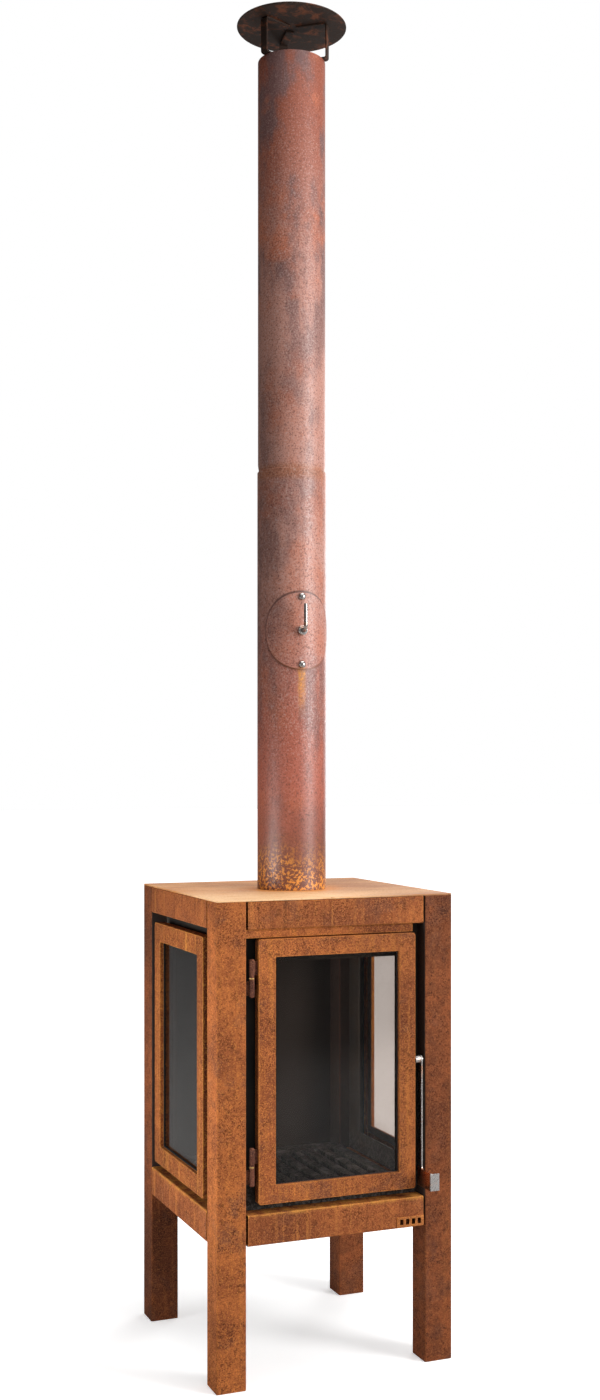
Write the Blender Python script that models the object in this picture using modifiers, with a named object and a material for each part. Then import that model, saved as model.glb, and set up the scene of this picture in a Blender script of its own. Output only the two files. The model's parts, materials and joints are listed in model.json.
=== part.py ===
"""A tall garden chiminea of weathering steel: a square firebox on four tube legs, with a glazed
door and two glazed side windows, under a two-piece flue with a damper and a rain cap.

Metres, +Z up. The origin is on the ground, in the middle of the footprint with the handle's reach
in it. The door faces -Y and is hinged on its -X side."""

import math

import bmesh
import bpy
from mathutils import Matrix, Vector

# The square body
BODY_SIZE = 0.500
BODY_TOP = 0.940
TUBE = 0.060
TUBE_WALL = 0.003
TUBE_CORNER = 0.003
SHEET = 0.003
GAP = 0.0003
SHADOW_GAP = 0.0035
MERGE = 0.00001
CLEARANCE = 0.002
TOP_RAIL_HEIGHT = 0.0545
LOWER_RAIL_BOTTOM = 0.2745

# The door and the two windows, which share one frame section
PANEL_BOTTOM = 0.352
PANEL_TOP = 0.8635
DOOR_LEFT = -0.165
DOOR_RIGHT = 0.169
WINDOW_WIDTH = 0.331
DOOR_FACE = 0.0355
WINDOW_FACE = 0.039
FRAME_DEPTH = 0.020
FRAME_SHEET = 0.0025
RETURN_DEPTH = 0.008
FRAME_CORNER = 0.006
OPENING_CORNER = 0.002
FRAME_EDGE = 0.0012
RING_CORNER = 0.001
GASKET = 0.0017
GASKET_LIP = 0.002
GLASS = 0.004
GLASS_LAP = 0.014
RETAINER = 0.004
RETAINER_OVERLAP = 0.002
SEAL_WIDTH = 0.009
SEAL_START = 0.016
SEAL_CORNER = 0.004

# The lining behind the door and the windows
LINER_DEPTH = 0.034
LINER_BOTTOM = 0.380
LINER_TOP = 0.815
DOOR_LINER_LEFT = -0.133
DOOR_LINER_RIGHT = 0.139
HEADER_DEPTH = 0.008
HEADER_SHORTER = 0.003
WINDOW_LINER_HALF = 0.135

# Hearth
FLOOR_Z = 0.300
PAN_SIZE = 0.300
PAN_HEIGHT = 0.026
PAN_SHEET = 0.0015
GRATE_THICKNESS = 0.010
GRATE_SLOTS = 10
GRATE_PITCH = 0.034
GRATE_SLOT_WIDTH = 0.015
GRATE_SLOT_LENGTH = 0.320
GRATE_SLOT_CORNER = 0.00675
AIR_HOLES = 6
AIR_HOLE_RADIUS = 0.008

# Barrel hinges
HINGE_X = -0.178
HINGE_INSET = 0.004
HINGE_RADIUS = 0.0055
HINGE_PIN_RADIUS = 0.003
HINGE_BORE_RADIUS = 0.0033
HINGE_LENGTH = 0.074
HINGE_WASHER = 0.0025
HINGE_LEAF = 0.003
HINGE_CHAMFER = 0.002
HINGE_PIN_SHORTER = 0.006
HINGE_PIN_CHAMFER = 0.0005
HINGE_PIN_SPACE = 0.001
HINGE_LEAF_INSET = 0.0035
HINGE_LEAF_HALF = 0.0133
HINGE_HEIGHTS = {"upper": 0.7888, "lower": 0.4260}

# Drop handle on the door's free side
HANDLE_REACH = 0.0444
HANDLE_X = 0.1820
HANDLE_SHEET = 0.003
HANDLE_WIDTH = 0.018
HANDLE_BOTTOM = 0.354
HANDLE_FOOT_HEIGHT = 0.035
HANDLE_TAB_WIDTH = 0.0195
HANDLE_FILLET = 0.006
TAB_INSET = 0.0005
PIVOT_INSET = 0.006
PIVOT_Z = 0.6085
PIVOT_RADIUS = 0.003
PIVOT_HOLE_RADIUS = 0.0033
PIVOT_HEAD_RADIUS = 0.008
PIVOT_HEAD_HEIGHT = 0.0042
PIVOT_HOLE_DEPTH = 0.010
PIVOT_GRIP = 0.012
LATCH_LENGTH = 0.016
LATCH_HEIGHT = 0.012
LATCH_TIP = 0.0055
LATCH_DROP = 0.010
LATCH_CLEARANCE = 0.0007
STRIKER_RADIUS = 0.0025
STRIKER_DEPTH = 0.022

# Flue
FLUE_RADIUS = 0.072
FLUE_UPPER_RADIUS = 0.0708
FLUE_WALL = 0.003
FLUE_JOINT_Z = 1.813
FLUE_TOP_Z = 2.675
FLUE_STEPS = 96
FLUE_EDGE = 0.0006
SPIGOT_RADIUS = 0.0685
SPIGOT_LENGTH = 0.050
SWAGE_HEIGHT = 0.015

# Damper
DAMPER_Z = 1.4765
DAMPER_HEADING = math.radians(-4.4)
DAMPER_PLATE_RADIUS = 0.066
DAMPER_PLATE_SHEET = 0.0025
DAMPER_ROD_RADIUS = 0.004
DAMPER_HOLE_RADIUS = 0.0046
DAMPER_LEVER_REACH = 0.100
DAMPER_LEVER_HEIGHT = 0.053
DAMPER_LEVER_BEND = 0.010
COVER_RADIUS = 0.080
COVER_SHEET = 0.002
COVER_GAP = 0.0005
COVER_RINGS = 7
COVER_STEPS = 40
COVER_BOLT_OFFSET = 0.070
COVER_BOLT_HEAD_RADIUS = 0.0075
COVER_BOLT_RADIUS = 0.003
COVER_BOLT_HOLE_RADIUS = 0.0034
COVER_BOLT_HEAD = (0.0015, 0.005)
COVER_BOLT_LENGTH = 0.012
HOLE_FROM, HOLE_TO = 0.060, 0.085
HUB_RADIUS = 0.010
HUB_LENGTH = 0.008
HUB_CHAMFER = 0.001
ROD_END_INSET = 0.001

# Rain cap
CAP_RADIUS = 0.115
CAP_Z = 2.7495
CAP_EDGE = 0.0008
STRAP_WIDTH = 0.018
STRAP_RADIUS = 0.0775
STRAP_FOOT_RADIUS = 0.064
STRAP_TIP_RADIUS = 0.012
STRAP_BEND = 0.004
STRAP_HEADINGS = (51.7, 171.7, 291.7)

# Badge plate
BADGE_SIZE = (0.058, 0.002, 0.020)
BADGE_CENTRE_X = 0.157
BADGE_CENTRE_Z = 0.287
BADGE_SLOTS = 4
BADGE_SLOT = (0.0078, 0.0115)
BADGE_CORNER = 0.0015
BADGE_SLOT_CORNER = 0.001
BADGE_PITCH = 0.0129
BADGE_WINDOW = (0.048, 0.014)

# Places that follow from the sizes above
BODY_Y = HANDLE_REACH / 2
HALF = BODY_SIZE / 2
INNER = HALF - TUBE
FRONT = BODY_Y - HALF
BACK = BODY_Y + HALF
FRAME_TOP = BODY_TOP - SHEET - GAP
TOP_RAIL_BOTTOM = FRAME_TOP - TOP_RAIL_HEIGHT
LOWER_RAIL_TOP = LOWER_RAIL_BOTTOM + TUBE
PANEL_HEIGHT = PANEL_TOP - PANEL_BOTTOM
PANEL_Z = (PANEL_TOP + PANEL_BOTTOM) / 2
HINGE_Y = FRONT + HINGE_INSET
PIVOT_Y = FRONT + PIVOT_INSET
DOOR_WIDTH = DOOR_RIGHT - DOOR_LEFT

# Colour, roughness, metallic
FINISHES = {
    "corten": ((0.33, 0.13, 0.05, 1), 0.85, 0.2),
    "corten_flue": ((0.30, 0.12, 0.08, 1), 0.7, 0.3),
    "soot": ((0.02, 0.02, 0.02, 1), 0.9, 0.1),
    "cast_iron": ((0.05, 0.05, 0.05, 1), 0.7, 0.6),
    "steel": ((0.62, 0.62, 0.60, 1), 0.3, 1.0),
    "brass": ((0.70, 0.50, 0.20, 1), 0.35, 1.0),
    "glass": ((0.85, 0.88, 0.88, 0.2), 0.05, 0.0),
    "gasket": ((0.02, 0.02, 0.03, 1), 0.8, 0.0),
}


def clear_scene():
    for obj in list(bpy.data.objects):
        bpy.data.objects.remove(obj)


def make_collection(name):
    found = bpy.data.collections.new(name)
    bpy.context.scene.collection.children.link(found)
    return found


def make_material(name):
    colour, roughness, metallic = FINISHES[name]
    material = bpy.data.materials.new(name)
    material.use_nodes = True
    shader = material.node_tree.nodes["Principled BSDF"]
    shader.inputs["Base Color"].default_value = colour
    shader.inputs["Roughness"].default_value = roughness
    shader.inputs["Metallic"].default_value = metallic
    shader.inputs["Alpha"].default_value = colour[3]
    material.diffuse_color = colour
    return material


clear_scene()
PARTS = make_collection("chiminea")
CUTTERS = make_collection("cutters")
MATERIALS = {name: make_material(name) for name in FINISHES}


def add_part(name, mesh, finish, location=(0, 0, 0), heading=0.0, parent=None):
    obj = bpy.data.objects.new(name, mesh)
    PARTS.objects.link(obj)
    mesh.materials.append(MATERIALS[finish])
    obj.location = location
    obj.rotation_euler = (0, 0, heading)
    obj.parent = parent
    return obj


def make_cutter(obj):
    """Turns a part into a tool for a Boolean, which is not itself in the object."""
    PARTS.objects.unlink(obj)
    CUTTERS.objects.link(obj)
    obj.hide_render = True
    obj.display_type = "WIRE"
    return obj


def add_empty(name, location, heading=0.0):
    empty = bpy.data.objects.new(name, None)
    PARTS.objects.link(empty)
    empty.location = location
    empty.rotation_euler = (0, 0, heading)
    return empty


def boolean(obj, tool, operation):
    modifier = obj.modifiers.new(tool.name, "BOOLEAN")
    modifier.operation = operation
    modifier.solver = "EXACT"
    modifier.object = make_cutter(tool)


def cut(obj, *tools):
    for tool in tools:
        boolean(obj, tool, "DIFFERENCE")


def join(obj, *tools):
    for tool in tools:
        boolean(obj, tool, "UNION")


def block_mesh(name, size, round_axis=None, radius=0.0):
    """A box centred on the origin, whose edges along round_axis are rounded."""
    shape = bmesh.new()
    bmesh.ops.create_cube(shape, size=1.0, matrix=Matrix.Diagonal((*size, 1.0)))
    if round_axis is not None:
        along = [
            edge
            for edge in shape.edges
            if abs((edge.verts[0].co - edge.verts[1].co)[round_axis]) > size[round_axis] / 2
        ]
        bmesh.ops.bevel(
            shape, geom=along, offset=radius, segments=3, profile=0.5, affect="EDGES"
        )
    mesh = bpy.data.meshes.new(name)
    shape.to_mesh(mesh)
    shape.free()
    return mesh


def block(name, low, high, finish, round_axis=None, radius=0.0, parent=None):
    """A box between two corners, given in its parent's frame."""
    low, high = Vector(low), Vector(high)
    mesh = block_mesh(name, high - low, round_axis, radius)
    return add_part(name, mesh, finish, (low + high) / 2, parent=parent)


def rod(name, start, end, radius, finish, parent=None, sides=24):
    """A round bar between two points."""
    start, end = Vector(start), Vector(end)
    shape = bmesh.new()
    bmesh.ops.create_cone(
        shape,
        cap_ends=True,
        segments=sides,
        radius1=radius,
        radius2=radius,
        depth=(end - start).length,
        matrix=(end - start).to_track_quat("Z", "Y").to_matrix().to_4x4(),
    )
    mesh = bpy.data.meshes.new(name)
    shape.to_mesh(mesh)
    shape.free()
    mesh.shade_smooth()
    mesh.set_sharp_from_angle(angle=math.radians(40))
    return add_part(name, mesh, finish, (start + end) / 2, parent=parent)


def turned(name, profile, finish, location, steps=24, hollow=False, parent=None, lean=None):
    """A shape turned about its own Z. The profile holds (radius, height) pairs and runs down the
    outer side; hollow closes it back to its start. lean turns the axis away from +Z."""
    mesh = bpy.data.meshes.new(name)
    last = len(profile) - 1
    edges = [(index, index + 1) for index in range(last)]
    if hollow:
        edges.append((last, 0))
    mesh.from_pydata([(radius, 0, height) for radius, height in profile], edges, [])
    obj = add_part(name, mesh, finish, location, parent=parent)
    if lean is not None:
        obj.rotation_euler = Vector(lean).to_track_quat("Z", "Y").to_euler()
    screw = obj.modifiers.new("turn", "SCREW")
    screw.steps = steps
    screw.render_steps = steps
    screw.use_merge_vertices = True
    screw.merge_threshold = MERGE
    return obj


def arc(centre, radius, start, end, steps):
    """Points of an arc in a plane, from one angle to another, in degrees."""
    turns = [math.radians(start + (end - start) * index / steps) for index in range(steps + 1)]
    return [(centre[0] + radius * math.cos(t), centre[1] + radius * math.sin(t)) for t in turns]


def rounded_rectangle(width, height, radius, steps=3):
    """Outline of a rectangle centred on the origin, with round corners."""
    across, up = width / 2 - radius, height / 2 - radius
    corners = [(across, up, 0), (-across, up, 90), (-across, -up, 180), (across, -up, 270)]
    points = []
    for x, z, start in corners:
        points += arc((x, z), radius, start, start + 90, steps)
    return points


def plate_mesh(name, outlines, thickness):
    """A flat plate in the XZ plane, from its outline and those of its holes. It is thickness
    deep along Y and centred on Y = 0."""
    curve = bpy.data.curves.new(name, "CURVE")
    curve.dimensions = "2D"
    curve.fill_mode = "BOTH"
    curve.extrude = thickness / 2
    for outline in outlines:
        spline = curve.splines.new("POLY")
        spline.points.add(len(outline) - 1)
        for point, (x, z) in zip(spline.points, outline):
            point.co = (x, z, 0, 1)
        spline.use_cyclic_u = True
    drawing = bpy.data.objects.new(name, curve)
    PARTS.objects.link(drawing)
    bpy.context.view_layer.update()
    mesh = bpy.data.meshes.new_from_object(
        drawing.evaluated_get(bpy.context.evaluated_depsgraph_get())
    )
    bpy.data.objects.remove(drawing)
    shape = bmesh.new()
    shape.from_mesh(mesh)
    bmesh.ops.remove_doubles(shape, verts=shape.verts, dist=MERGE)
    bmesh.ops.transform(shape, matrix=Matrix.Rotation(math.pi / 2, 4, "X"), verts=shape.verts)
    bmesh.ops.recalc_face_normals(shape, faces=shape.faces)
    shape.to_mesh(mesh)
    shape.free()
    mesh.name = name
    mesh.materials.clear()
    return mesh


def ring_mesh(name, outer, hole, thickness, outer_radius=RING_CORNER, hole_radius=RING_CORNER):
    """A rectangular ring in the XZ plane. outer and hole are (width, height) pairs."""
    outlines = [
        rounded_rectangle(*outer, outer_radius),
        rounded_rectangle(*hole, hole_radius),
    ]
    return plate_mesh(name, outlines, thickness)


def soften_front(mesh, offset):
    """Rounds the long edges round the front face of a plate, on the side towards -Y."""
    shape = bmesh.new()
    shape.from_mesh(mesh)
    front = min(vertex.co.y for vertex in shape.verts)
    edges = [
        edge
        for edge in shape.edges
        if all(abs(vertex.co.y - front) < MERGE for vertex in edge.verts)
        and edge.calc_face_angle(0) > math.radians(45)
    ]
    bmesh.ops.bevel(shape, geom=edges, offset=offset, segments=2, profile=0.5, affect="EDGES")
    shape.to_mesh(mesh)
    shape.free()


def square_tube(name, low, high, axis, finish, closed_start=False):
    """A hollow square tube along an axis. closed_start leaves its low end shut."""
    low, high = Vector(low), Vector(high)
    tube = block(name, low, high, finish, axis, TUBE_CORNER)
    inside = Vector((TUBE_WALL, TUBE_WALL, TUBE_WALL))
    hollow_low, hollow_high = low + inside, high - inside
    hollow_high[axis] = high[axis] + TUBE_WALL
    if not closed_start:
        hollow_low[axis] = low[axis] - TUBE_WALL
    cut(tube, block(name + "_hollow", hollow_low, hollow_high, finish))
    return tube


def bent_strip(name, path, width, thickness, finish, heading, location):
    """A flat bar of even thickness, bent along a path of (x, z) points and width wide in Y."""
    shape = bmesh.new()
    sides = [
        [shape.verts.new((x, side * width / 2, z)) for x, z in path] for side in (-1, 1)
    ]
    for index in range(len(path) - 1):
        near, far = sides
        shape.faces.new((near[index], near[index + 1], far[index + 1], far[index]))
    mesh = bpy.data.meshes.new(name)
    shape.to_mesh(mesh)
    shape.free()
    obj = add_part(name, mesh, finish, location, heading)
    solid = obj.modifiers.new("thickness", "SOLIDIFY")
    solid.thickness = thickness
    solid.offset = 0
    solid.use_even_offset = True
    return obj


def build_frame():
    """Four legs with closed feet, and a rail between each pair of legs, high and low."""
    for side, sign_x in (("left", -1), ("right", 1)):
        for end, sign_y in (("front", -1), ("rear", 1)):
            x_pair = sorted((sign_x * HALF, sign_x * INNER))
            y_pair = sorted((BODY_Y + sign_y * HALF, BODY_Y + sign_y * INNER))
            low = (x_pair[0], y_pair[0], 0)
            high = (x_pair[1], y_pair[1], FRAME_TOP)
            square_tube(f"post_{end}_{side}", low, high, 2, "corten", closed_start=True)
    reach = INNER - SHADOW_GAP
    levels = {
        "top": (TOP_RAIL_BOTTOM, FRAME_TOP),
        "lower": (LOWER_RAIL_BOTTOM, LOWER_RAIL_TOP),
    }
    for level, (bottom, top) in levels.items():
        for end, y in (("front", FRONT), ("rear", BACK - TUBE)):
            low = (-reach, y, bottom)
            square_tube(f"{level}_rail_{end}", low, (reach, y + TUBE, top), 0, "corten")
        for side, x in (("left", -HALF), ("right", HALF - TUBE)):
            low = (x, BODY_Y - reach, bottom)
            high = (x + TUBE, BODY_Y + reach, top)
            square_tube(f"{level}_rail_{side}", low, high, 1, "corten")


def build_top():
    """The thin top plate, with the flue's spigot welded through its middle."""
    plate = block(
        "top_plate",
        (-HALF, FRONT, BODY_TOP - SHEET),
        (HALF, BACK, BODY_TOP),
        "corten",
        2,
        TUBE_CORNER,
    )
    centre = Vector((0, BODY_Y, BODY_TOP))
    lift = Vector((0, 0, SHEET * 3))
    hole = rod("top_hole", centre - lift, centre + lift, SPIGOT_RADIUS + GAP * 2, "corten",
               sides=FLUE_STEPS)
    cut(plate, hole)
    inner = SPIGOT_RADIUS - FLUE_WALL
    profile = [
        (SPIGOT_RADIUS, SPIGOT_LENGTH),
        (SPIGOT_RADIUS, -SPIGOT_LENGTH / 2),
        (inner, -SPIGOT_LENGTH / 2),
        (inner, SPIGOT_LENGTH),
    ]
    turned("flue_spigot", profile, "corten_flue", centre, FLUE_STEPS, hollow=True)


def liner_wall(name, parent, opening):
    """One wall of the lining, in the frame of a face of the body: local Y runs inwards.
    opening is (low x, high x, low z, high z), or None."""
    reach = INNER - GAP * 2
    bottom, top = LOWER_RAIL_TOP + GAP, TOP_RAIL_BOTTOM - GAP
    wall = block(
        name,
        (-reach, LINER_DEPTH, bottom),
        (reach, LINER_DEPTH + SHEET, top),
        "soot",
        parent=parent,
    )
    left, right, low, high = opening
    cut(
        wall,
        block(
            name + "_opening",
            (left, LINER_DEPTH - SHEET, low),
            (right, LINER_DEPTH + SHEET * 2, high),
            "soot",
            parent=parent,
        ),
    )


def build_hearth():
    """The closed rear panel, the floor with its air holes, the ash pan and the fire grate."""
    reach = INNER - GAP * 2
    block(
        "rear_panel",
        (-reach, BACK - SHEET - TUBE_WALL, LOWER_RAIL_TOP + GAP),
        (reach, BACK - SHEET, TOP_RAIL_BOTTOM - GAP),
        "corten",
    )
    floor = block(
        "hearth_floor",
        (-reach, BODY_Y - reach, FLOOR_Z),
        (reach, BODY_Y + reach, FLOOR_Z + SHEET),
        "soot",
    )
    margin = (PAN_SIZE / 2 + reach) / 2
    pitch = PAN_SIZE / (AIR_HOLES - 1)
    for side, sign in (("left", -1), ("right", 1)):
        for index in range(AIR_HOLES):
            y = BODY_Y - PAN_SIZE / 2 + pitch * index
            start = (sign * margin, y, FLOOR_Z - SHEET)
            end = (sign * margin, y, FLOOR_Z + SHEET * 2)
            name = f"air_hole_{side}_{index}"
            cut(floor, rod(name, start, end, AIR_HOLE_RADIUS, "soot", sides=12))
    half = PAN_SIZE / 2
    bottom = FLOOR_Z + SHEET + GAP
    low = Vector((-half, BODY_Y - half, bottom))
    high = Vector((half, BODY_Y + half, bottom + PAN_HEIGHT))
    pan = block("ash_pan", low, high, "soot")
    skin = Vector((PAN_SHEET, PAN_SHEET, PAN_SHEET))
    lift = Vector((0, 0, PAN_SHEET * 2))
    cut(pan, block("ash_pan_hollow", low + skin, high - skin + lift, "soot"))
    grate_reach = HALF - LINER_DEPTH - SHEET - CLEARANCE
    low_z = LOWER_RAIL_TOP + GAP
    grate = block(
        "fire_grate",
        (-reach + CLEARANCE, BODY_Y - grate_reach, low_z),
        (reach - CLEARANCE, BODY_Y + grate_reach, low_z + GRATE_THICKNESS),
        "cast_iron",
    )
    for index in range(GRATE_SLOTS):
        x = (index - (GRATE_SLOTS - 1) / 2) * GRATE_PITCH
        slot = block(
            f"grate_slot_{index}",
            (x - GRATE_SLOT_WIDTH / 2, BODY_Y - GRATE_SLOT_LENGTH / 2, low_z - SHEET),
            (x + GRATE_SLOT_WIDTH / 2, BODY_Y + GRATE_SLOT_LENGTH / 2, low_z + SHEET * 5),
            "cast_iron",
            2,
            GRATE_SLOT_CORNER,
        )
        cut(grate, slot)


def framed_glass(prefix, width, face, centre, parent):
    """A folded sheet frame with its glass, gasket and rope seal. centre is the middle of its
    front, in the parent's frame, and local +Y runs into the body."""
    height = PANEL_HEIGHT
    opening = (width - 2 * face, height - 2 * face)

    def part(name, mesh, finish, depth):
        return add_part(name, mesh, finish, centre + Vector((0, depth, 0)), parent=parent)

    outer = (width, height)
    mesh = ring_mesh(
        prefix + "_frame", outer, opening, FRAME_DEPTH, FRAME_CORNER, OPENING_CORNER
    )
    soften_front(mesh, FRAME_EDGE)
    frame = part(prefix + "_frame", mesh, "corten", FRAME_DEPTH / 2)
    inside = (width - 2 * FRAME_SHEET, height - 2 * FRAME_SHEET)
    rebate_depth = FRAME_DEPTH - RETURN_DEPTH + FRAME_SHEET
    rebate = part(
        prefix + "_rebate",
        block_mesh(prefix + "_rebate", (inside[0], rebate_depth, inside[1])),
        "corten",
        RETURN_DEPTH + rebate_depth / 2,
    )
    around = (opening[0] + 2 * FRAME_SHEET, opening[1] + 2 * FRAME_SHEET)
    channel_depth = RETURN_DEPTH
    channel = part(
        prefix + "_channel",
        ring_mesh(prefix + "_channel", inside, around, channel_depth),
        "corten",
        FRAME_SHEET + channel_depth / 2,
    )
    cut(frame, rebate, channel)

    lip = (opening[0] - 2 * GASKET_LIP, opening[1] - 2 * GASKET_LIP)
    pane = (opening[0] + 2 * GLASS_LAP, opening[1] + 2 * GLASS_LAP)
    depth = RETURN_DEPTH + GAP
    part(prefix + "_gasket", ring_mesh(prefix + "_gasket", pane, lip, GASKET), "gasket",
         depth + GASKET / 2)
    depth += GASKET + GAP
    glass = block_mesh(prefix + "_glass", (pane[0], GLASS, pane[1]))
    part(prefix + "_glass", glass, "glass", depth + GLASS / 2)

    seal_outer = (inside[0] - 2 * GAP * 2, inside[1] - 2 * GAP * 2)
    seal_hole = (seal_outer[0] - 2 * SEAL_WIDTH, seal_outer[1] - 2 * SEAL_WIDTH)
    seal_depth = LINER_DEPTH - GAP - SEAL_START
    corners = (SEAL_CORNER, SEAL_CORNER)
    seal = ring_mesh(prefix + "_seal", seal_outer, seal_hole, seal_depth, *corners)
    part(prefix + "_seal", seal, "gasket", SEAL_START + seal_depth / 2)
    return frame, depth + GLASS


def build_windows():
    """The fixed glazed sides, flush with the legs' outer faces, and their lining walls."""
    for side, sign in (("left", -1), ("right", 1)):
        face = add_empty(f"{side}_face", (sign * HALF, BODY_Y, 0), sign * math.pi / 2)
        framed_glass(f"{side}_window", WINDOW_WIDTH, WINDOW_FACE, Vector((0, 0, PANEL_Z)), face)
        opening = (-WINDOW_LINER_HALF, WINDOW_LINER_HALF, LINER_BOTTOM, LINER_TOP)
        liner_wall(f"liner_{side}", face, opening)


def knuckle(name, profile, z, leaf_middle, leaf_from, leaf_to):
    """Half of a barrel hinge: a turned barrel with a flat leaf welded to the back of it."""
    barrel = turned(name, profile, "corten", (HINGE_X, HINGE_Y, z))
    leaf_front = HINGE_Y + HINGE_LEAF_INSET - HINGE_LEAF / 2
    leaf = block(
        name + "_leaf",
        (HINGE_X + leaf_from, leaf_front, z + leaf_middle - HINGE_LEAF_HALF),
        (HINGE_X + leaf_to, leaf_front + HINGE_LEAF, z + leaf_middle + HINGE_LEAF_HALF),
        "corten",
    )
    join(barrel, leaf)
    return barrel, leaf


def build_hinges(door):
    """Two lift-off barrel hinges: the lower half carries the pin and is welded to the leg, the
    upper half is welded to the door, and a brass washer runs between them."""
    radius, pin, bore = HINGE_RADIUS, HINGE_PIN_RADIUS, HINGE_BORE_RADIUS
    half_length = HINGE_LENGTH / 2 - HINGE_WASHER / 2 - GAP
    pin_length = half_length - HINGE_PIN_SHORTER
    for level, centre in HINGE_HEIGHTS.items():
        shoulder = -HINGE_WASHER / 2 - GAP
        body_profile = [
            (0, pin_length),
            (pin, pin_length - HINGE_PIN_CHAMFER),
            (pin, shoulder),
            (radius, shoulder),
            (radius, shoulder - half_length + HINGE_CHAMFER),
            (radius - HINGE_CHAMFER, shoulder - half_length),
            (0, shoulder - half_length),
        ]
        leg_side = -INNER - HINGE_X + GAP
        leg_middle = shoulder - half_length / 2
        name = f"hinge_{level}_leg_half"
        knuckle(name, body_profile, centre, leg_middle, leg_side, -pin - HINGE_PIN_SPACE)
        start = HINGE_WASHER / 2 + GAP
        door_profile = [
            (0, start + half_length),
            (radius - HINGE_CHAMFER, start + half_length),
            (radius, start + half_length - HINGE_CHAMFER),
            (radius, start),
            (bore, start),
            (bore, pin_length + HINGE_PIN_SPACE),
            (0, pin_length + HINGE_PIN_SPACE * 2),
        ]
        door_side = DOOR_LEFT - HINGE_X - GAP
        name = f"hinge_{level}_door_half"
        door_middle = start + half_length / 2
        leaf_start = bore + HINGE_PIN_SPACE
        for piece in knuckle(name, door_profile, centre, door_middle, leaf_start, door_side):
            hang(piece, door)
        washer = [
            (radius, HINGE_WASHER / 2),
            (radius, -HINGE_WASHER / 2),
            (bore, -HINGE_WASHER / 2),
            (bore, HINGE_WASHER / 2),
        ]
        turned(
            f"hinge_{level}_washer",
            washer,
            "brass",
            (HINGE_X, HINGE_Y, centre),
            hollow=True,
        )


def hang(obj, pivot):
    """Parents a part to a joint's empty and keeps it where it is."""
    obj.location = Vector(obj.location) - Vector(pivot.location)
    obj.parent = pivot


def build_door():
    """The glazed door on its hinge axis, with the retainer ring that clamps its glass, and the
    lining wall that it closes on."""
    door = add_empty("door_hinge", (HINGE_X, HINGE_Y, 0))
    centre = Vector(((DOOR_LEFT + DOOR_RIGHT) / 2 - HINGE_X, FRONT - HINGE_Y, PANEL_Z))
    frame, glass_back = framed_glass("door", DOOR_WIDTH, DOOR_FACE, centre, door)
    opening = (DOOR_WIDTH - 2 * DOOR_FACE, PANEL_HEIGHT - 2 * DOOR_FACE)
    wider = 2 * (GLASS_LAP + RETAINER_OVERLAP)
    outer = (opening[0] + wider, opening[1] + wider)
    mesh = ring_mesh("door_glass_retainer", outer, opening, RETAINER)
    offset = Vector((0, glass_back + GAP + RETAINER / 2, 0))
    add_part("door_glass_retainer", mesh, "soot", centre + offset, parent=door)
    pivot = Vector((0, PIVOT_Y, PIVOT_Z)) - Vector(door.location)
    bolt_hole = rod(
        "pivot_hole",
        pivot + Vector((DOOR_RIGHT - PIVOT_HOLE_DEPTH, 0, 0)),
        pivot + Vector((DOOR_RIGHT + PIVOT_HOLE_DEPTH, 0, 0)),
        PIVOT_HOLE_RADIUS,
        "corten",
        parent=door,
    )
    cut(frame, bolt_hole)
    front_face = add_empty("front_face", (0, FRONT, 0))
    sides = (DOOR_LINER_LEFT, DOOR_LINER_RIGHT, LINER_BOTTOM, LINER_TOP)
    liner_wall("liner_front", front_face, sides)
    header_low = (-INNER + GAP * 2, FRONT + HEADER_DEPTH, PANEL_TOP + CLEARANCE)
    header_back = FRONT + HEADER_DEPTH + SHEET
    header_high = (DOOR_RIGHT - HEADER_SHORTER, header_back, TOP_RAIL_BOTTOM - GAP)
    block("door_header", header_low, header_high, "corten")
    return door


def handle_outline():
    """Side view of the handle, as (y, z) points about its pivot: a strip with a round eye, a
    latch arm towards the body, and a foot towards the user."""
    half = HANDLE_WIDTH / 2
    bottom = HANDLE_BOTTOM - PIVOT_Z
    foot_top = bottom + HANDLE_FOOT_HEIGHT
    foot_front = -PIVOT_INSET - HANDLE_REACH + HANDLE_SHEET / 3
    fillet = HANDLE_FILLET
    arm_top = -LATCH_DROP
    arm_bottom = arm_top - LATCH_HEIGHT
    arm_end = half + LATCH_LENGTH
    tip_top = -STRIKER_RADIUS * 2 - LATCH_CLEARANCE
    points = [(foot_front, bottom), (half, bottom)]
    points += [(half, arm_bottom), (arm_end, arm_bottom), (arm_end, tip_top)]
    points += [(arm_end - LATCH_TIP, tip_top), (arm_end - LATCH_TIP, arm_top), (half, arm_top)]
    points += arc((0, 0), half, 0, 180, 10)
    points += arc((-half - fillet, foot_top + fillet), fillet, 0, -90, 4)
    points += [(foot_front, foot_top)]
    return points


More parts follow.
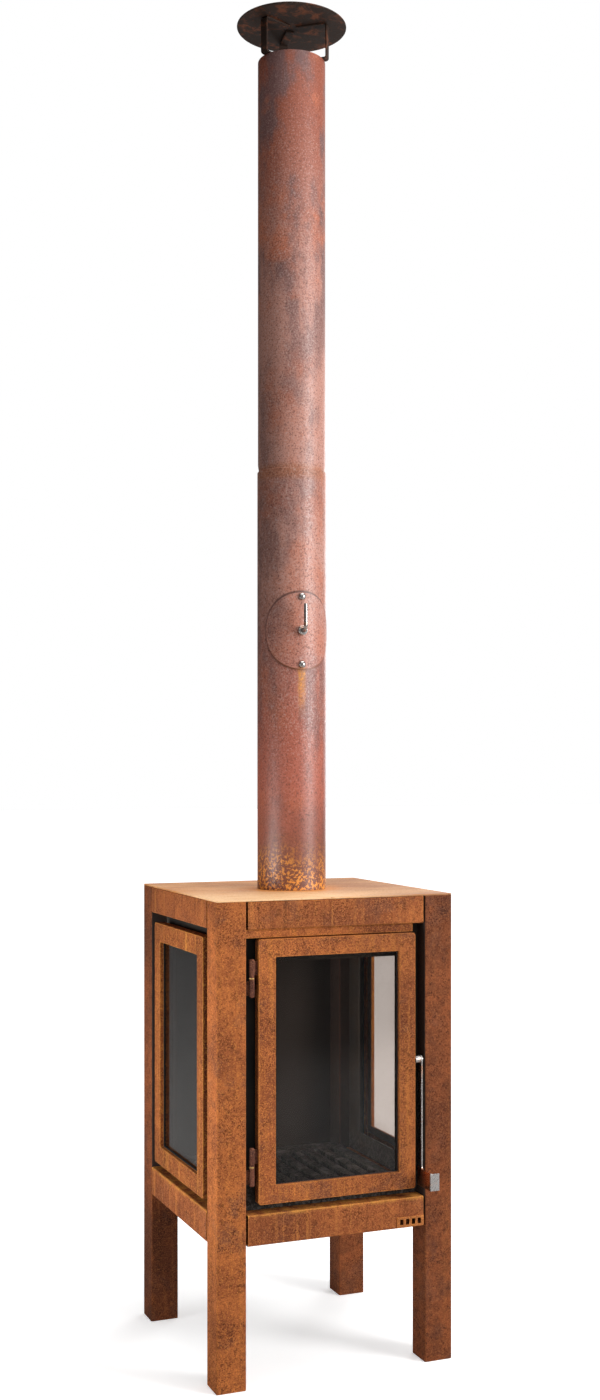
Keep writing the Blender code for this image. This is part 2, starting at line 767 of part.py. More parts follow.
def build_handle(door):
    """The drop handle, its pivot bolt and bush on the door's side, and the striker on the leg."""
    pivot = add_empty("handle_pivot", (HANDLE_X, PIVOT_Y, PIVOT_Z))
    outline = handle_outline()
    mesh = plate_mesh("handle_lever", [outline], HANDLE_SHEET)
    quarter = Matrix.Rotation(math.pi / 2, 4, "Z")
    mesh.transform(quarter)
    lever = add_part("handle_lever", mesh, "steel", parent=pivot)
    half_sheet = HANDLE_SHEET / 2
    front = -PIVOT_INSET - HANDLE_REACH
    bottom = HANDLE_BOTTOM - PIVOT_Z + TAB_INSET
    top = HANDLE_BOTTOM - PIVOT_Z + HANDLE_FOOT_HEIGHT - TAB_INSET
    tab = block(
        "handle_tab",
        (-half_sheet / 2, front, bottom),
        (-half_sheet + HANDLE_TAB_WIDTH, front + HANDLE_SHEET, top),
        "steel",
        parent=pivot,
    )
    eye = rod(
        "handle_eye",
        (-HANDLE_SHEET, 0, 0),
        (HANDLE_SHEET, 0, 0),
        PIVOT_HOLE_RADIUS,
        "steel",
        parent=pivot,
    )
    join(lever, tab)
    cut(lever, eye)
    hang(pivot, door)

    bush_start = DOOR_RIGHT + GAP
    bush_end = HANDLE_X - half_sheet - GAP
    length = bush_end - bush_start
    ring = [
        (PIVOT_HEAD_RADIUS, length),
        (PIVOT_HEAD_RADIUS, 0),
        (PIVOT_HOLE_RADIUS, 0),
        (PIVOT_HOLE_RADIUS, length),
    ]
    bush = turned(
        "handle_bush",
        ring,
        "steel",
        (bush_start, PIVOT_Y, PIVOT_Z),
        hollow=True,
        lean=(1, 0, 0),
    )
    hang(bush, door)
    head_start = HANDLE_X + half_sheet + GAP
    shank = head_start - DOOR_RIGHT + PIVOT_GRIP
    dome = arc((0, 0), 1, 90, 0, 5)
    bolt_profile = [(PIVOT_HEAD_RADIUS * x, PIVOT_HEAD_HEIGHT * z) for x, z in dome]
    bolt_profile += [(PIVOT_RADIUS, 0), (PIVOT_RADIUS, -shank), (0, -shank)]
    bolt = turned(
        "handle_pivot_bolt",
        bolt_profile,
        "steel",
        (head_start, PIVOT_Y, PIVOT_Z),
        lean=(1, 0, 0),
    )
    hang(bolt, door)
    striker_y = FRONT + STRIKER_DEPTH
    rod(
        "latch_striker",
        (HANDLE_X - HANDLE_SHEET, striker_y, PIVOT_Z - STRIKER_RADIUS),
        (INNER - GAP, striker_y, PIVOT_Z - STRIKER_RADIUS),
        STRIKER_RADIUS,
        "steel",
    )


def build_flue():
    """Two pipes: the upper one is swaged at its foot and plugs into the lower one."""
    axis = add_empty("flue_axis", (0, BODY_Y, 0), DAMPER_HEADING)
    inner = FLUE_RADIUS - FLUE_WALL
    edge = FLUE_EDGE
    profile = [
        (FLUE_RADIUS - edge, FLUE_JOINT_Z),
        (FLUE_RADIUS, FLUE_JOINT_Z - edge),
        (FLUE_RADIUS, BODY_TOP + GAP),
        (inner, BODY_TOP + GAP),
        (inner, FLUE_JOINT_Z),
    ]
    lower = turned(
        "flue_lower", profile, "corten_flue", (0, 0, 0), FLUE_STEPS, hollow=True, parent=axis
    )
    foot = FLUE_JOINT_Z - SPIGOT_LENGTH
    upper_inner = FLUE_UPPER_RADIUS - FLUE_WALL
    swage_inner = SPIGOT_RADIUS - FLUE_WALL
    swage_top = FLUE_JOINT_Z + SWAGE_HEIGHT
    profile = [
        (FLUE_UPPER_RADIUS - edge, FLUE_TOP_Z),
        (FLUE_UPPER_RADIUS, FLUE_TOP_Z - edge),
        (FLUE_UPPER_RADIUS, swage_top),
        (SPIGOT_RADIUS, FLUE_JOINT_Z),
        (SPIGOT_RADIUS, foot),
        (swage_inner, foot),
        (swage_inner, FLUE_JOINT_Z),
        (upper_inner, swage_top),
        (upper_inner, FLUE_TOP_Z),
    ]
    turned(
        "flue_upper", profile, "corten_flue", (0, 0, 0), FLUE_STEPS, hollow=True, parent=axis
    )
    return axis, lower


def radial_rod(name, height, radius, start, end, axis):
    """A round bar along the damper's axis, at distances start to end in front of the flue's."""
    return rod(name, (0, -start, height), (0, -end, height), radius, "steel", parent=axis)


def cover_mesh():
    """A disc rolled to the flue's outside: rings of points wrapped round the pipe."""
    shape = bmesh.new()
    spokes = [
        shape.verts.new((COVER_RADIUS * index / COVER_RINGS, 0, 0))
        for index in range(COVER_RINGS + 1)
    ]
    edges = [shape.edges.new(pair) for pair in zip(spokes, spokes[1:])]
    bmesh.ops.spin(
        shape,
        geom=spokes + edges,
        cent=(0, 0, 0),
        axis=(0, 1, 0),
        angle=2 * math.pi,
        steps=COVER_STEPS,
    )
    bmesh.ops.remove_doubles(shape, verts=shape.verts, dist=MERGE)
    radius = FLUE_RADIUS + COVER_GAP
    for vertex in shape.verts:
        turn = vertex.co.x / radius
        vertex.co = (radius * math.sin(turn), -radius * math.cos(turn), vertex.co.z)
    bmesh.ops.recalc_face_normals(shape, faces=shape.faces)
    shape.faces.ensure_lookup_table()
    if shape.faces[0].normal.y > 0:
        bmesh.ops.reverse_faces(shape, faces=shape.faces)
    mesh = bpy.data.meshes.new("damper_cover")
    shape.to_mesh(mesh)
    shape.free()
    return mesh


def build_damper(axis, lower_flue):
    """The butterfly plate on its rod, and the bolted cover and bush that carry the rod."""
    cover = add_part("damper_cover", cover_mesh(), "corten_flue", (0, 0, DAMPER_Z), parent=axis)
    solid = cover.modifiers.new("thickness", "SOLIDIFY")
    solid.thickness = COVER_SHEET
    solid.offset = 1
    outside = FLUE_RADIUS + COVER_GAP + COVER_SHEET + GAP
    rod_hole = (DAMPER_Z, DAMPER_HOLE_RADIUS)
    bolt_holes = [
        (DAMPER_Z + sign * COVER_BOLT_OFFSET, COVER_BOLT_HOLE_RADIUS) for sign in (1, -1)
    ]
    for index, (height, radius) in enumerate([rod_hole, *bolt_holes]):
        for target, label in ((cover, "cover"), (lower_flue, "flue")):
            name = f"{label}_front_hole_{index}"
            cut(target, radial_rod(name, height, radius, HOLE_FROM, HOLE_TO, axis))
    cut(lower_flue, radial_rod("flue_back_hole", *rod_hole, -HOLE_FROM, -HOLE_TO, axis))

    dome = arc((0, 0), 1, 90, 0, 4)
    for label, (height, _) in zip(("upper", "lower"), bolt_holes):
        rim, rise = COVER_BOLT_HEAD
        head = [(COVER_BOLT_HEAD_RADIUS * x, rim + rise * z) for x, z in dome]
        head += [(COVER_BOLT_HEAD_RADIUS, 0), (COVER_BOLT_RADIUS, 0)]
        head += [(COVER_BOLT_RADIUS, -COVER_BOLT_LENGTH), (0, -COVER_BOLT_LENGTH)]
        turned(
            f"damper_bolt_{label}",
            head,
            "steel",
            (0, -outside, height),
            parent=axis,
            lean=(0, -1, 0),
        )
    hub = [
        (HUB_RADIUS - HUB_CHAMFER, HUB_LENGTH),
        (HUB_RADIUS, HUB_LENGTH - HUB_CHAMFER),
        (HUB_RADIUS, 0),
        (DAMPER_HOLE_RADIUS, 0),
        (DAMPER_HOLE_RADIUS, HUB_LENGTH),
    ]
    turned(
        "damper_bush",
        hub,
        "steel",
        (0, -outside, DAMPER_Z),
        hollow=True,
        parent=axis,
        lean=(0, -1, 0),
    )

    turn = add_empty("damper_turn", (0, BODY_Y, DAMPER_Z), DAMPER_HEADING)
    bend = DAMPER_LEVER_BEND
    elbow = arc((DAMPER_LEVER_REACH - bend, bend), bend, -90, 0, 6)
    path = [(-FLUE_RADIUS + ROD_END_INSET, 0), *elbow, (DAMPER_LEVER_REACH, DAMPER_LEVER_HEIGHT)]
    bent_rod("damper_lever", path, DAMPER_ROD_RADIUS, "steel", turn)
    plate_x = DAMPER_ROD_RADIUS + GAP
    start = (plate_x, 0, 0)
    end = (plate_x + DAMPER_PLATE_SHEET, 0, 0)
    rod("damper_plate", start, end, DAMPER_PLATE_RADIUS, "soot", parent=turn, sides=48)


def bent_rod(name, path, radius, finish, parent):
    """A round bar bent along (reach, height) points, where reach runs towards local -Y."""
    curve = bpy.data.curves.new(name, "CURVE")
    curve.dimensions = "3D"
    curve.bevel_depth = radius
    curve.bevel_resolution = 4
    curve.use_fill_caps = True
    spline = curve.splines.new("POLY")
    spline.points.add(len(path) - 1)
    for point, (reach, height) in zip(spline.points, path):
        point.co = (0, -reach, height, 1)
    return add_part(name, curve, finish, parent=parent)


def build_cap():
    """A flat disc held over the flue by three bent straps."""
    edge = CAP_EDGE
    profile = [
        (0, SHEET),
        (CAP_RADIUS - edge, SHEET),
        (CAP_RADIUS, SHEET - edge),
        (CAP_RADIUS, edge),
        (CAP_RADIUS - edge, 0),
        (0, 0),
    ]
    turned("rain_cap", profile, "corten_flue", (0, BODY_Y, CAP_Z), 96)
    half = SHEET / 2
    foot = FLUE_TOP_Z + GAP + half
    top = CAP_Z - GAP - half
    bend = STRAP_BEND
    low_bend = arc((STRAP_RADIUS - bend, foot + bend), bend, -90, 0, 4)
    high_bend = arc((STRAP_RADIUS - bend, top - bend), bend, 0, 90, 4)
    path = [(STRAP_FOOT_RADIUS, foot), *low_bend, *high_bend, (STRAP_TIP_RADIUS, top)]
    for index, heading in enumerate(STRAP_HEADINGS):
        turn = math.radians(heading - 90)
        bent_strip(
            f"cap_strap_{index + 1}",
            path,
            STRAP_WIDTH,
            SHEET,
            "corten_flue",
            turn,
            (0, BODY_Y, 0),
        )


def build_badge():
    """A small plate pierced by a row of plain slots, over a window cut in the front rail."""
    width, depth, height = BADGE_SIZE
    across, up = BADGE_WINDOW[0] / 2, BADGE_WINDOW[1] / 2
    window = block(
        "badge_window",
        (BADGE_CENTRE_X - across, FRONT - TUBE_WALL, BADGE_CENTRE_Z - up),
        (BADGE_CENTRE_X + across, FRONT + TUBE_WALL * 2, BADGE_CENTRE_Z + up),
        "corten",
    )
    cut(PARTS.objects["lower_rail_front"], window)
    outlines = [rounded_rectangle(width, height, BADGE_CORNER)]
    for index in range(BADGE_SLOTS):
        shift = (index - (BADGE_SLOTS - 1) / 2) * BADGE_PITCH
        slot = rounded_rectangle(*BADGE_SLOT, BADGE_SLOT_CORNER)
        outlines.append([(x + shift, z) for x, z in slot])
    mesh = plate_mesh("badge_plate", outlines, depth)
    middle = (BADGE_CENTRE_X, FRONT - GAP - depth / 2, BADGE_CENTRE_Z)
    add_part("badge_plate", mesh, "corten", middle)


build_frame()
build_top()
build_hearth()
build_windows()
door_pivot = build_door()
build_hinges(door_pivot)
build_handle(door_pivot)
flue_axis, flue_lower = build_flue()
build_damper(flue_axis, flue_lower)
build_cap()
build_badge()
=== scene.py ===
import json
import math

import bmesh
import bpy
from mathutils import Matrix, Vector


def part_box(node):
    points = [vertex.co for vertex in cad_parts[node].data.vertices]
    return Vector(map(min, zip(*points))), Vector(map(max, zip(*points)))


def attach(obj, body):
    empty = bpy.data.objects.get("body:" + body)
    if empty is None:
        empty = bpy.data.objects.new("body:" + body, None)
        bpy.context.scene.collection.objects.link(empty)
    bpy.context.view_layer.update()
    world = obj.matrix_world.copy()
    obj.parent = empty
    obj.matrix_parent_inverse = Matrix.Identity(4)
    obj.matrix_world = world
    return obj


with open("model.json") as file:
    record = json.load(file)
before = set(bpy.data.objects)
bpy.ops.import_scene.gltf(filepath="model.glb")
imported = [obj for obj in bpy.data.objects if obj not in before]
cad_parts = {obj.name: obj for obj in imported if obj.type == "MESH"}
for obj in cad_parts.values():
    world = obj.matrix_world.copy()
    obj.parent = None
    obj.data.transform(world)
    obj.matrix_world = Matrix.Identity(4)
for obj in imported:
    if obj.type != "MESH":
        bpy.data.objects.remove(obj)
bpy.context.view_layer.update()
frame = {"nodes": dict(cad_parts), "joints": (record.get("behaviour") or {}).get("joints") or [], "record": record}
NODES = frame["nodes"]
SLOTS = {part["node"]: part["material_slot"] for part in frame["record"]["subparts"]}

# Lengths are in metres, and colours are linear red, green and blue.

# The camera stands at head height, in front of the door's hinge side
CAMERA_PLACE = (-1.2219, -3.1180, 1.1946)
CAMERA_TURN = math.radians(-22.8)
CAMERA_LENS = 41.14
CAMERA_SHIFT = (-0.0247, 0.0480)

# The world's grey, and how it darkens and brightens as a direction turns towards two sides
WHITE = (1.0, 1.0, 1.0, 1.0)
WORLD_GREY = 0.40
WORLD_SHADE = 0.08
WORLD_LIT = 0.60
SHADED_SIDE = (-0.80, 0.60, 0.0)
SHADED_SPAN = (-0.1, 0.8)
LIT_SIDE = (0.55, 0.83, 0.06)
LIT_SPAN = (0.80, 0.95)
BACKDROP_WHITE = 1.0

# The floor, and its glow near the object, far from it and seen through glass
FLOOR_HALF = 40.0
FLOOR_Z = -0.0005
FLOOR_NEAR, FLOOR_FAR = 0.3, 3.0
FLOOR_GLOW_NEAR, FLOOR_GLOW_FAR = 0.45, 1.0
FLOOR_BEHIND_GLASS = 0.62
FLOOR_SEEN = (0.90, 0.90, 0.90)
FLOOR_TINT = (0.42, 0.42, 0.42)

# Lamps: name, place, what they face, size, power in watts and spread in degrees
SOFTBOXES = (
    ("key", (2.25, -2.60, 1.80), (0.0, 0.0, 1.20), (1.2, 2.2), 104.0, 180.0),
    ("side", (-1.35, -0.15, 0.56), (-0.25, -0.05, 0.58), (0.7, 0.8), 3.2, 60.0),
    ("top", (0.3, -0.4, 4.4), (0.0, 0.0, 0.9), (2.4, 2.4), 92.0, 180.0),
    ("rear", (2.4, 2.6, 1.8), (0.0, 0.0, 1.0), (1.2, 2.0), 30.0, 180.0),
)

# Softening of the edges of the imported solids: how wide a node's rounds are, by what its name
# starts with
WELD = 0.00001
BEVEL_ANGLE = math.radians(38)
ROUNDS = (
    (("post", "lower_rail", "top_rail", "top_plate"), 0.0008),
    (("flue", "rain_cap", "damper_cover"), 0.0004),
    (("damper", "handle", "hinge", "latch"), 0.0003),
    ("", 0.0005),
)

# Which rusted finish a node has, by what its name starts with. The front left post has a lighter
# copy of the posts' rust, as painted light, and the other posts a darker copy, as painted shade
RUSTS = (
    ("top_plate", "top"),
    ("post_front_left", "bright"),
    ("hinge", "hinge"),
    ("post", "dull"),
    ("badge", "badge"),
    ("lower_rail", "ledge"),
    ("top_rail", "rail"),
    (("left_window_frame", "right_window_frame"), "bloom"),
    ("rear_panel", "inner"),
    ("", "frame"),
)

# How far the seed of the noise can lie from piece to piece
SEED_SPAN = 40.0

# A hard edge shows where the rounded normal and the true one agree less than this
EDGE_FLAT = 0.995
EDGE_SHARP = 0.86
# Width of the brighter edges, which are partly wear and partly a painted highlight
WEAR_AND_HIGHLIGHT_WIDTH = 0.0030
# Width of the painted yellow highlight along the lower rails' top edge
YELLOW_HIGHLIGHT_WIDTH = 0.004

# Soot, which on the posts' inner faces is also painted shade: its colour, how much it covers,
# and how far it goes round the edge of a blackened face
SOOT = (0.040, 0.034, 0.031)
SOOT_AND_SHADE_COVER = 0.92
SOOT_WHOLE = 0.0003
SOOT_END = 0.0012
PANEL_SOOT_FADE = 0.001
HEARTH_SOOT_BELOW = 0.02
HEARTH_SOOT_ABOVE = 0.01

# The socket screws behind the door's glass
SCREW_RADIUS = 0.0030
SCREW_RISE = 0.0018
SCREW_SOCKET = 0.0013
SCREW_SOCKET_DEPTH = 0.0010
SCREW_STRAIGHT = 0.4
SCREW_RIM = 1.25
SCREW_STEPS = 24
SCREW_INSET = 0.008
SCREW_SUNK = 0.0001


# ---------------------------------------------------------------- node helpers


class Nodes:
    """A node tree, with one short call for each kind of node."""

    def __init__(self, owner):
        owner.use_nodes = True
        self.nodes = owner.node_tree.nodes
        self.links = owner.node_tree.links

    def add(self, kind, **settings):
        node = self.nodes.new(kind)
        for key, value in settings.items():
            setattr(node, key, value)
        return node

    def feed(self, socket, value):
        """Links a socket, or sets it to a number or a colour."""
        if isinstance(value, bpy.types.NodeSocket):
            self.links.new(value, socket)
        elif isinstance(value, tuple) and len(value) == 3 and socket.type == "RGBA":
            socket.default_value = (*value, 1.0)
        else:
            socket.default_value = value

    def math(self, operation, first, second=0.0, third=0.0):
        node = self.add("ShaderNodeMath", operation=operation)
        for socket, value in zip(node.inputs, (first, second, third)):
            self.feed(socket, value)
        return node.outputs[0]

    def product(self, *values):
        result = values[0]
        for value in values[1:]:
            result = self.math("MULTIPLY", result, value)
        return result

    def band(self, value, low, high, start=0.0, end=1.0):
        """Runs smoothly from start to end as value goes from low to high."""
        node = self.add("ShaderNodeMapRange", interpolation_type="SMOOTHSTEP")
        numbers = (value, low, high, start, end)
        for socket, number in zip(node.inputs, numbers):
            self.feed(socket, number)
        return node.outputs[0]

    def toward(self, way, direction):
        """How far a unit vector points along a direction."""
        dot = self.add("ShaderNodeVectorMath", operation="DOT_PRODUCT")
        self.feed(dot.inputs[0], way)
        dot.inputs[1].default_value = direction
        return dot.outputs["Value"]

    def seen(self):
        """Masks of the rays straight from the camera, and of those that came through glass
        without a reflection in it."""
        path = self.add("ShaderNodeLightPath")
        straight = self.math("LESS_THAN", path.outputs["Glossy Depth"], 0.5)
        through = self.product(path.outputs["Is Transmission Ray"], straight)
        return path.outputs["Is Camera Ray"], through


class Tree(Nodes):
    """The node tree of a material with one principled shader."""

    def __init__(self, name):
        self.material = bpy.data.materials.new(name)
        super().__init__(self.material)
        self.shader = self.nodes["Principled BSDF"]
        self.output = self.nodes["Material Output"]
        self.coords = self.add("ShaderNodeTexCoord").outputs["Object"]
        self.chance = self.add("ShaderNodeObjectInfo").outputs["Random"]
        self.seed = self.product(self.chance, SEED_SPAN)

    def axis(self, name, coords=None):
        """One coordinate of a point, X, Y or Z."""
        split = self.add("ShaderNodeSeparateXYZ")
        self.feed(split.inputs[0], coords or self.coords)
        return split.outputs[name]

    def stretch(self, scale):
        """The coordinates with a scale of their own along each axis."""
        node = self.add("ShaderNodeMapping")
        self.feed(node.inputs["Vector"], self.coords)
        node.inputs["Scale"].default_value = scale
        return node.outputs[0]

    def noise(self, scale, detail=3.0, roughness=0.55, coords=None, distortion=0.0):
        """Noise that differs from piece to piece, with scale waves to the metre."""
        node = self.add("ShaderNodeTexNoise", noise_dimensions="4D")
        self.feed(node.inputs["Vector"], coords or self.coords)
        self.feed(node.inputs["W"], self.seed)
        node.inputs["Scale"].default_value = scale
        node.inputs["Detail"].default_value = detail
        node.inputs["Roughness"].default_value = roughness
        node.inputs["Distortion"].default_value = distortion
        return node.outputs["Fac"]

    def mix(self, factor, first, second, blend="MIX"):
        node = self.add("ShaderNodeMix", data_type="RGBA", blend_type=blend)
        self.feed(node.inputs[0], factor)
        self.feed(node.inputs[6], first)
        self.feed(node.inputs[7], second)
        return node.outputs[2]

    def edges(self, radius):
        """A mask of the hard edges, where a rounded normal turns away from the true one."""
        rounded = self.add("ShaderNodeBevel", samples=4)
        rounded.inputs["Radius"].default_value = radius
        true = self.add("ShaderNodeNewGeometry").outputs["True Normal"]
        dot = self.add("ShaderNodeVectorMath", operation="DOT_PRODUCT")
        self.feed(dot.inputs[0], rounded.outputs[0])
        self.feed(dot.inputs[1], true)
        return self.band(dot.outputs["Value"], EDGE_FLAT, EDGE_SHARP)

    def bump(self, height, distance, strength=1.0, under=None):
        """A bump of some depth in metres, on top of another one."""
        node = self.add("ShaderNodeBump")
        self.feed(node.inputs["Height"], height)
        node.inputs["Distance"].default_value = distance
        node.inputs["Strength"].default_value = strength
        if under is not None:
            self.feed(node.inputs["Normal"], under)
        return node.outputs[0]

    def finish(self, colour, roughness, normal=None, metallic=0.0, specular=0.5):
        self.feed(self.shader.inputs["Base Color"], colour)
        self.feed(self.shader.inputs["Roughness"], roughness)
        self.shader.inputs["Metallic"].default_value = metallic
        self.shader.inputs["Specular IOR Level"].default_value = specular
        if normal is not None:
            self.feed(self.shader.inputs["Normal"], normal)
        return self.material


# ------------------------------------------------------------------- materials


def shade(colour, share):
    """A colour with a share of its brightness, or with more of it."""
    return tuple(share * value for value in colour)


def soot_and_shade_inside(tree, kind):
    """The mask of what is painted black: nothing, or a post's two inner faces above the hearth, as
    soot and as painted shade in the gaps beside the door and the windows, or the rear panel's
    inner face, as soot."""
    if kind is None:
        return 0.0
    if kind == "panel":
        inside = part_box("rear_panel")[0][1] + SOOT_END
        return tree.band(tree.axis("Y"), inside + PANEL_SOOT_FADE, inside)
    # A post's inner faces are painted black, as soot and as painted shade in the gaps
    low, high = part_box("post_front_left"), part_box("post_rear_right")
    reach = []
    for index in (0, 1):
        middle = (low[0][index] + high[1][index]) / 2
        offset = tree.math("SUBTRACT", tree.axis("XYZ"[index]), middle)
        reach.append(tree.math("ABSOLUTE", offset))
    inner = (high[0][0] - low[1][0]) / 2
    facing = tree.band(tree.math("MINIMUM", *reach), inner + SOOT_END, inner + SOOT_WHOLE)
    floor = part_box("hearth_floor")[0][2]
    above = tree.band(tree.axis("Z"), floor - HEARTH_SOOT_BELOW, floor + HEARTH_SOOT_ABOVE)
    return tree.product(facing, above, SOOT_AND_SHADE_COVER)


def corten(name, fresh, deep, bloom, streaks=0.5, film=0.35, worn=0.5, sooty=None,
           highlit_above=None, painted_shade_over=None):
    """Rusted sheet: broad clouds of two browns, runs of brighter rust down the faces, a grey
    film in patches, smudges and clusters of fine dark pits, and edges made brighter, partly by
    wear and partly as a painted highlight. The inner faces that sooty names are black with soot,
    and on the posts this black is also painted shade. Above highlit_above, a height, its edges
    and some patches carry a painted yellow highlight. It is painted darker from left to right
    over painted_shade_over, two places along X, as painted shade."""
    tree = Tree(name)
    clouds = tree.band(tree.noise(5.5, 5.0, 0.62), 0.38, 0.64)
    colour = tree.mix(clouds, fresh, deep)
    flush = tree.band(tree.noise(14.0, 4.0, 0.65), 0.52, 0.68)
    colour = tree.mix(tree.product(flush, 0.45), colour, shade(fresh, 1.35))
    mottle = tree.band(tree.noise(38.0, 5.0, 0.72), 0.42, 0.62)
    colour = tree.mix(tree.product(mottle, 0.60), colour, deep)

    runs = tree.noise(1.0, 4.0, 0.65, tree.stretch((85.0, 85.0, 3.0)))
    bright = tree.product(tree.band(runs, 0.50, 0.68), streaks)
    colour = tree.mix(bright, colour, bloom)
    dark_runs = tree.product(tree.band(runs, 0.47, 0.30), streaks * 0.9)
    colour = tree.mix(dark_runs, colour, shade(deep, 0.40))

    grey = tuple(value + 0.030 for value in shade(deep, 0.40))
    veil = tree.band(tree.noise(10.0, 5.0, 0.70, distortion=0.5), 0.50, 0.64)
    colour = tree.mix(tree.product(veil, film), colour, grey)
    smudges = tree.band(tree.noise(95.0, 4.0, 0.74), 0.52, 0.66)
    colour = tree.mix(tree.product(smudges, 0.62), colour, shade(deep, 0.38))

    grain = tree.noise(420.0, 3.0, 0.68)
    clusters = tree.band(tree.noise(17.0, 4.0, 0.65), 0.42, 0.60, 0.45, 1.0)
    pits = tree.product(tree.band(grain, 0.51, 0.61), clusters)
    colour = tree.mix(tree.product(pits, 0.80), colour, shade(deep, 0.22))
    colour = tree.mix(tree.product(tree.band(grain, 0.47, 0.36), 0.55), colour, bloom)
    # The edges are made brighter, partly as wear and partly as a painted highlight
    uneven = tree.band(mottle, 0.0, 1.0, 1.0, 0.45)
    rubbed_and_highlit = tree.product(tree.edges(WEAR_AND_HIGHLIGHT_WIDTH), uneven, worn)
    colour = tree.mix(rubbed_and_highlit, colour, bloom)

    tone_and_painted_shade = tree.band(tree.chance, 0.0, 1.0, 0.95, 1.05)
    # Across two places along X the colour is painted darker from left to right, as painted shade
    if painted_shade_over is not None:
        tone_and_painted_shade = tree.product(tone_and_painted_shade, tree.band(tree.axis("X"), *painted_shade_over, 1.16, 0.84))
    colour = tree.mix(1.0, colour, tone_and_painted_shade, "MULTIPLY")
    rough = tree.band(grain, 0.3, 0.7, 0.62, 0.92)
    # Above a height, the edges and some patches of the top face get a painted yellow highlight
    if highlit_above is not None:
        wavy = tree.math("ADD", tree.axis("Z"), tree.product(tree.noise(60.0, 3.0), 0.006))
        high = tree.band(wavy, highlit_above - 0.005, highlit_above + 0.003)
        edge = tree.math("MAXIMUM", tree.edges(YELLOW_HIGHLIGHT_WIDTH), tree.product(mottle, 0.40))
        yellow = (0.92, 0.42, 0.07)
        colour = tree.mix(tree.product(high, edge), colour, yellow)
    # Black as soot, and on the posts' inner faces also as painted shade
    soot = soot_and_shade_inside(tree, sooty)
    colour = tree.mix(soot, colour, SOOT)
    clean = tree.math("SUBTRACT", 1.0, soot)
    bumps = tree.bump(tree.product(smudges, clean), 0.0004, 0.4)
    bumps = tree.bump(tree.product(grain, clean), 0.0005, 0.6, bumps)
    return tree.finish(colour, rough, bumps, specular=0.2)


def corten_top(name, bloom):
    """The top plate, painted paler towards the front and the left as a painted sheen, and painted
    darker towards the right as painted shade, with a ring of brighter rust round the flue."""
    tree = Tree(name)
    fresh, deep, painted_sheen_colour = (0.76, 0.375, 0.150), (0.55, 0.215, 0.073), (0.98, 0.62, 0.33)
    clouds = tree.noise(1.0, 5.0, 0.6, tree.stretch((5.0, 11.0, 5.0)))
    colour = tree.mix(tree.band(clouds, 0.38, 0.62), fresh, deep)
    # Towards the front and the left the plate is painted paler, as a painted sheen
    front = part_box("top_plate")[0][1]
    pale = tree.product(tree.band(tree.axis("Y"), front + 0.30, front + 0.02),
                        tree.band(tree.axis("X"), 0.20, -0.05, 0.10, 0.95))
    colour = tree.mix(pale, colour, painted_sheen_colour)

    place = tree.add("ShaderNodeVectorMath", operation="SUBTRACT")
    tree.feed(place.inputs[0], tree.coords)
    place.inputs[1].default_value = flue_centre()
    length = tree.add("ShaderNodeVectorMath", operation="LENGTH")
    tree.feed(length.inputs[0], place.outputs[0])
    wobble = tree.product(tree.noise(14.0, 3.0), 0.06)
    near = tree.band(tree.math("ADD", length.outputs["Value"], wobble), 0.16, 0.10)
    colour = tree.mix(tree.product(near, 0.85), colour, bloom)

    smears = tree.noise(1.0, 5.0, 0.7, tree.stretch((14.0, 30.0, 14.0)))
    colour = tree.mix(tree.product(tree.band(smears, 0.52, 0.66), 0.45), colour, bloom)
    coarse = tree.noise(200.0, 3.0, 0.6)
    spots = tree.product(tree.band(coarse, 0.54, 0.70), 0.45)
    colour = tree.mix(spots, colour, shade(deep, 0.55))
    # Towards the right the plate is painted darker, as painted shade
    painted_shade_right = tree.band(tree.axis("X"), -0.02, 0.18, 1.0, 0.74)
    colour = tree.mix(1.0, colour, painted_shade_right, "MULTIPLY")
    rough = tree.band(coarse, 0.3, 0.7, 0.46, 0.70)
    return tree.finish(colour, rough, tree.bump(coarse, 0.0004, 0.5), specular=0.35)


def damper_place():
    """The damper's heading about the flue's axis, that axis in X and Y, and its height."""
    joint = next(joint for joint in frame["joints"] if joint["name"] == "damper_turn")
    across, along, _ = joint["axis"]
    x, y, height = joint["pos_m"]
    return math.atan2(-across, along), x, y, height


def round_cover(tree):
    """How far a point on the pipe is from the middle of the damper's cover, measured on the
    pipe's surface, and the angle round the pipe from there."""
    heading, middle_x, middle_y, middle_z = damper_place()
    low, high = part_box("flue_lower")
    radius = (high[0] - low[0]) / 2
    side = tree.math("SUBTRACT", tree.axis("X"), middle_x)
    front = tree.math("SUBTRACT", middle_y, tree.axis("Y"))
    turn = tree.math("SUBTRACT", tree.math("ARCTAN2", side, front), heading)
    around = tree.math("POWER", tree.product(turn, radius), 2.0)
    up = tree.math("POWER", tree.math("SUBTRACT", tree.axis("Z"), middle_z), 2.0)
    return tree.math("SQRT", tree.math("ADD", around, up)), turn


